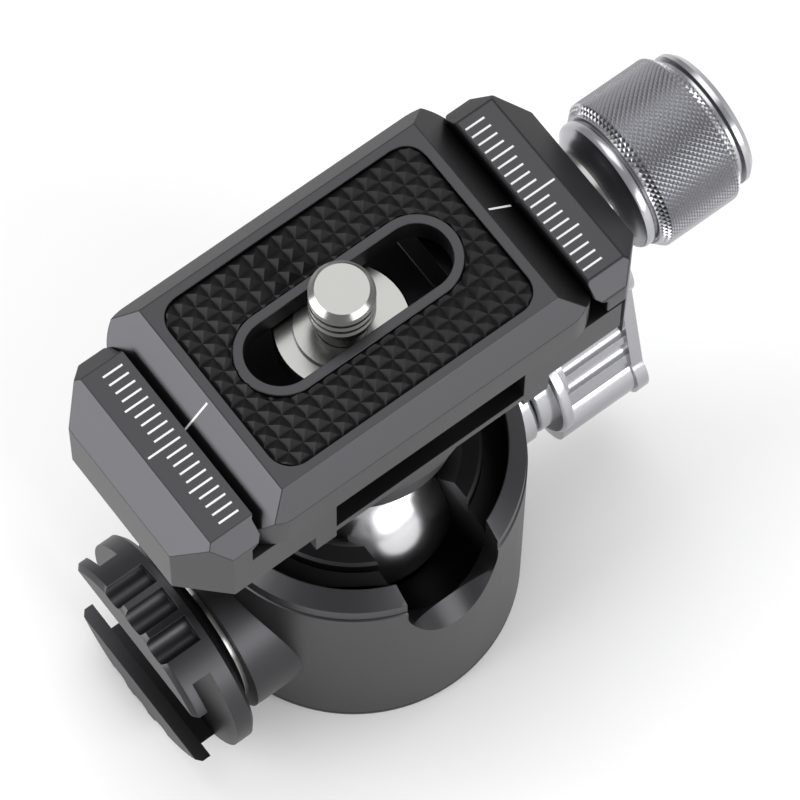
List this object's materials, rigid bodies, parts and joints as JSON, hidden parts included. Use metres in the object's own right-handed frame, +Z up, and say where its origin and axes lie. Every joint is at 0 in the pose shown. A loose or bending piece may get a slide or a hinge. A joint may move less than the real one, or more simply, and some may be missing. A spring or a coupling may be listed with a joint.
{
  "type": "tripod ball head",
  "caption": "Small ball head with a notched housing, a screw clamp holding a camera plate with its screw, a ball-lock knob and a round cold shoe on the side.",
  "frame": {"origin": "centre of the base's lower face, on the axis of the tripod thread", "axes": "+Z up along the base and the stem, +X towards the two knobs, -Y out of the drop notch; the camera plate slides along Y"},
  "size_m": [0.0696, 0.0342, 0.0692],
  "materials": {
    "dark_anodised": "dark grey anodised, fine bead-blasted satin",
    "silver_aluminium": "bare satin aluminium",
    "polished_ball": "polished",
    "steel": "bright turned steel",
    "black_polymer": "matte moulded polymer",
    "rubber": "matte rubber with small pyramids",
    "brass": "turned brass"
  },
  "bodies": {
    "base": {"base": "dark_anodised", "thrust_washer": "black_polymer", "wave_washer": "steel", "pan_nut": "brass"},
    "housing": {"housing": "dark_anodised", "collar": "dark_anodised", "upper_seat": "black_polymer", "lower_seat": "black_polymer", "seat_ring": "dark_anodised", "lock_bushing": "silver_aluminium", "shoe_washer": "black_polymer", "shoe_screw": "steel"},
    "lock_knob": {"lock_knob": "silver_aluminium", "lock_screw": "steel", "lock_grub": "steel"},
    "lock_pad": {"lock_pad": "brass"},
    "cold_shoe": {"cold_shoe": "dark_anodised"},
    "ball": {"ball": "polished_ball"},
    "stem": {"stem": "polished_ball"},
    "clamp": {"clamp_body": "dark_anodised", "stem_screw": "steel", "clamp_spring": "steel"},
    "moving_jaw": {"moving_jaw": "dark_anodised", "guide_pins": "steel", "knob_washer": "steel"},
    "clamp_knob": {"clamp_knob": "silver_aluminium", "knob_cap": "silver_aluminium", "clamp_screw": "steel"},
    "plate": {"qr_plate": "dark_anodised", "rubber_pad": "rubber"},
    "screw_clip": {"screw_clip": "steel"},
    "camera_screw": {"camera_screw": "steel"}
  },
  "joints": [
    {"name": "pan", "type": "hinge", "parent": "base", "child": "housing", "pos_m": [0, 0, 0.003], "axis": [0, 0, 1], "continuous": true},
    {"name": "lock_turn", "type": "hinge", "parent": "housing", "child": "lock_knob", "pos_m": [0.02, 0, 0.0205], "axis": [1, 0, 0], "range_deg": [-15, 90]},
    {"name": "lock_pad_slide", "type": "slide", "parent": "housing", "child": "lock_pad", "axis": [1, 0, 0], "range_m": [-0.00004166, 0.00025]},
    {"name": "shoe_turn", "type": "hinge", "parent": "housing", "child": "cold_shoe", "pos_m": [-0.024, 0, 0.0124], "axis": [1, 0, 0], "continuous": true},
    {"name": "ball_roll", "type": "hinge", "parent": "housing", "child": "ball", "pos_m": [0, 0, 0.0205], "axis": [0, 1, 0], "range_deg": [-8, 8]},
    {"name": "stem_tilt", "type": "hinge", "parent": "ball", "child": "stem", "pos_m": [0, 0, 0.0205], "axis": [1, 0, 0], "range_deg": [-22, 68]},
    {"name": "head_twist", "type": "hinge", "parent": "stem", "child": "clamp", "pos_m": [0, 0, 0.043], "axis": [0, 0, 1], "continuous": true},
    {"name": "jaw_slide", "type": "slide", "parent": "clamp", "child": "moving_jaw", "axis": [1, 0, 0], "range_m": [0, 0.003], "deforming": ["clamp_spring"]},
    {"name": "knob_turn", "type": "hinge", "parent": "moving_jaw", "child": "clamp_knob", "pos_m": [0.035, 0, 0.0527], "axis": [1, 0, 0], "range_deg": [0, 1350]},
    {"name": "plate_slide", "type": "slide", "parent": "clamp", "child": "plate", "axis": [0, 1, 0], "range_m": [-0.012, 0.012]},
    {"name": "screw_slide", "type": "slide", "parent": "plate", "child": "screw_clip", "axis": [1, 0, 0], "range_m": [-0.007, 0.0078]},
    {"name": "screw_spin", "type": "hinge", "parent": "screw_clip", "child": "camera_screw", "pos_m": [-0.0008, 0.0007, 0.06], "axis": [0, 0, 1], "continuous": true}
  ],
  "couplings": [
    {"joint": "lock_turn", "follows": "lock_pad_slide", "rad_per_m": 6283.2},
    {"joint": "knob_turn", "follows": "jaw_slide", "rad_per_m": 7854}
  ]
}
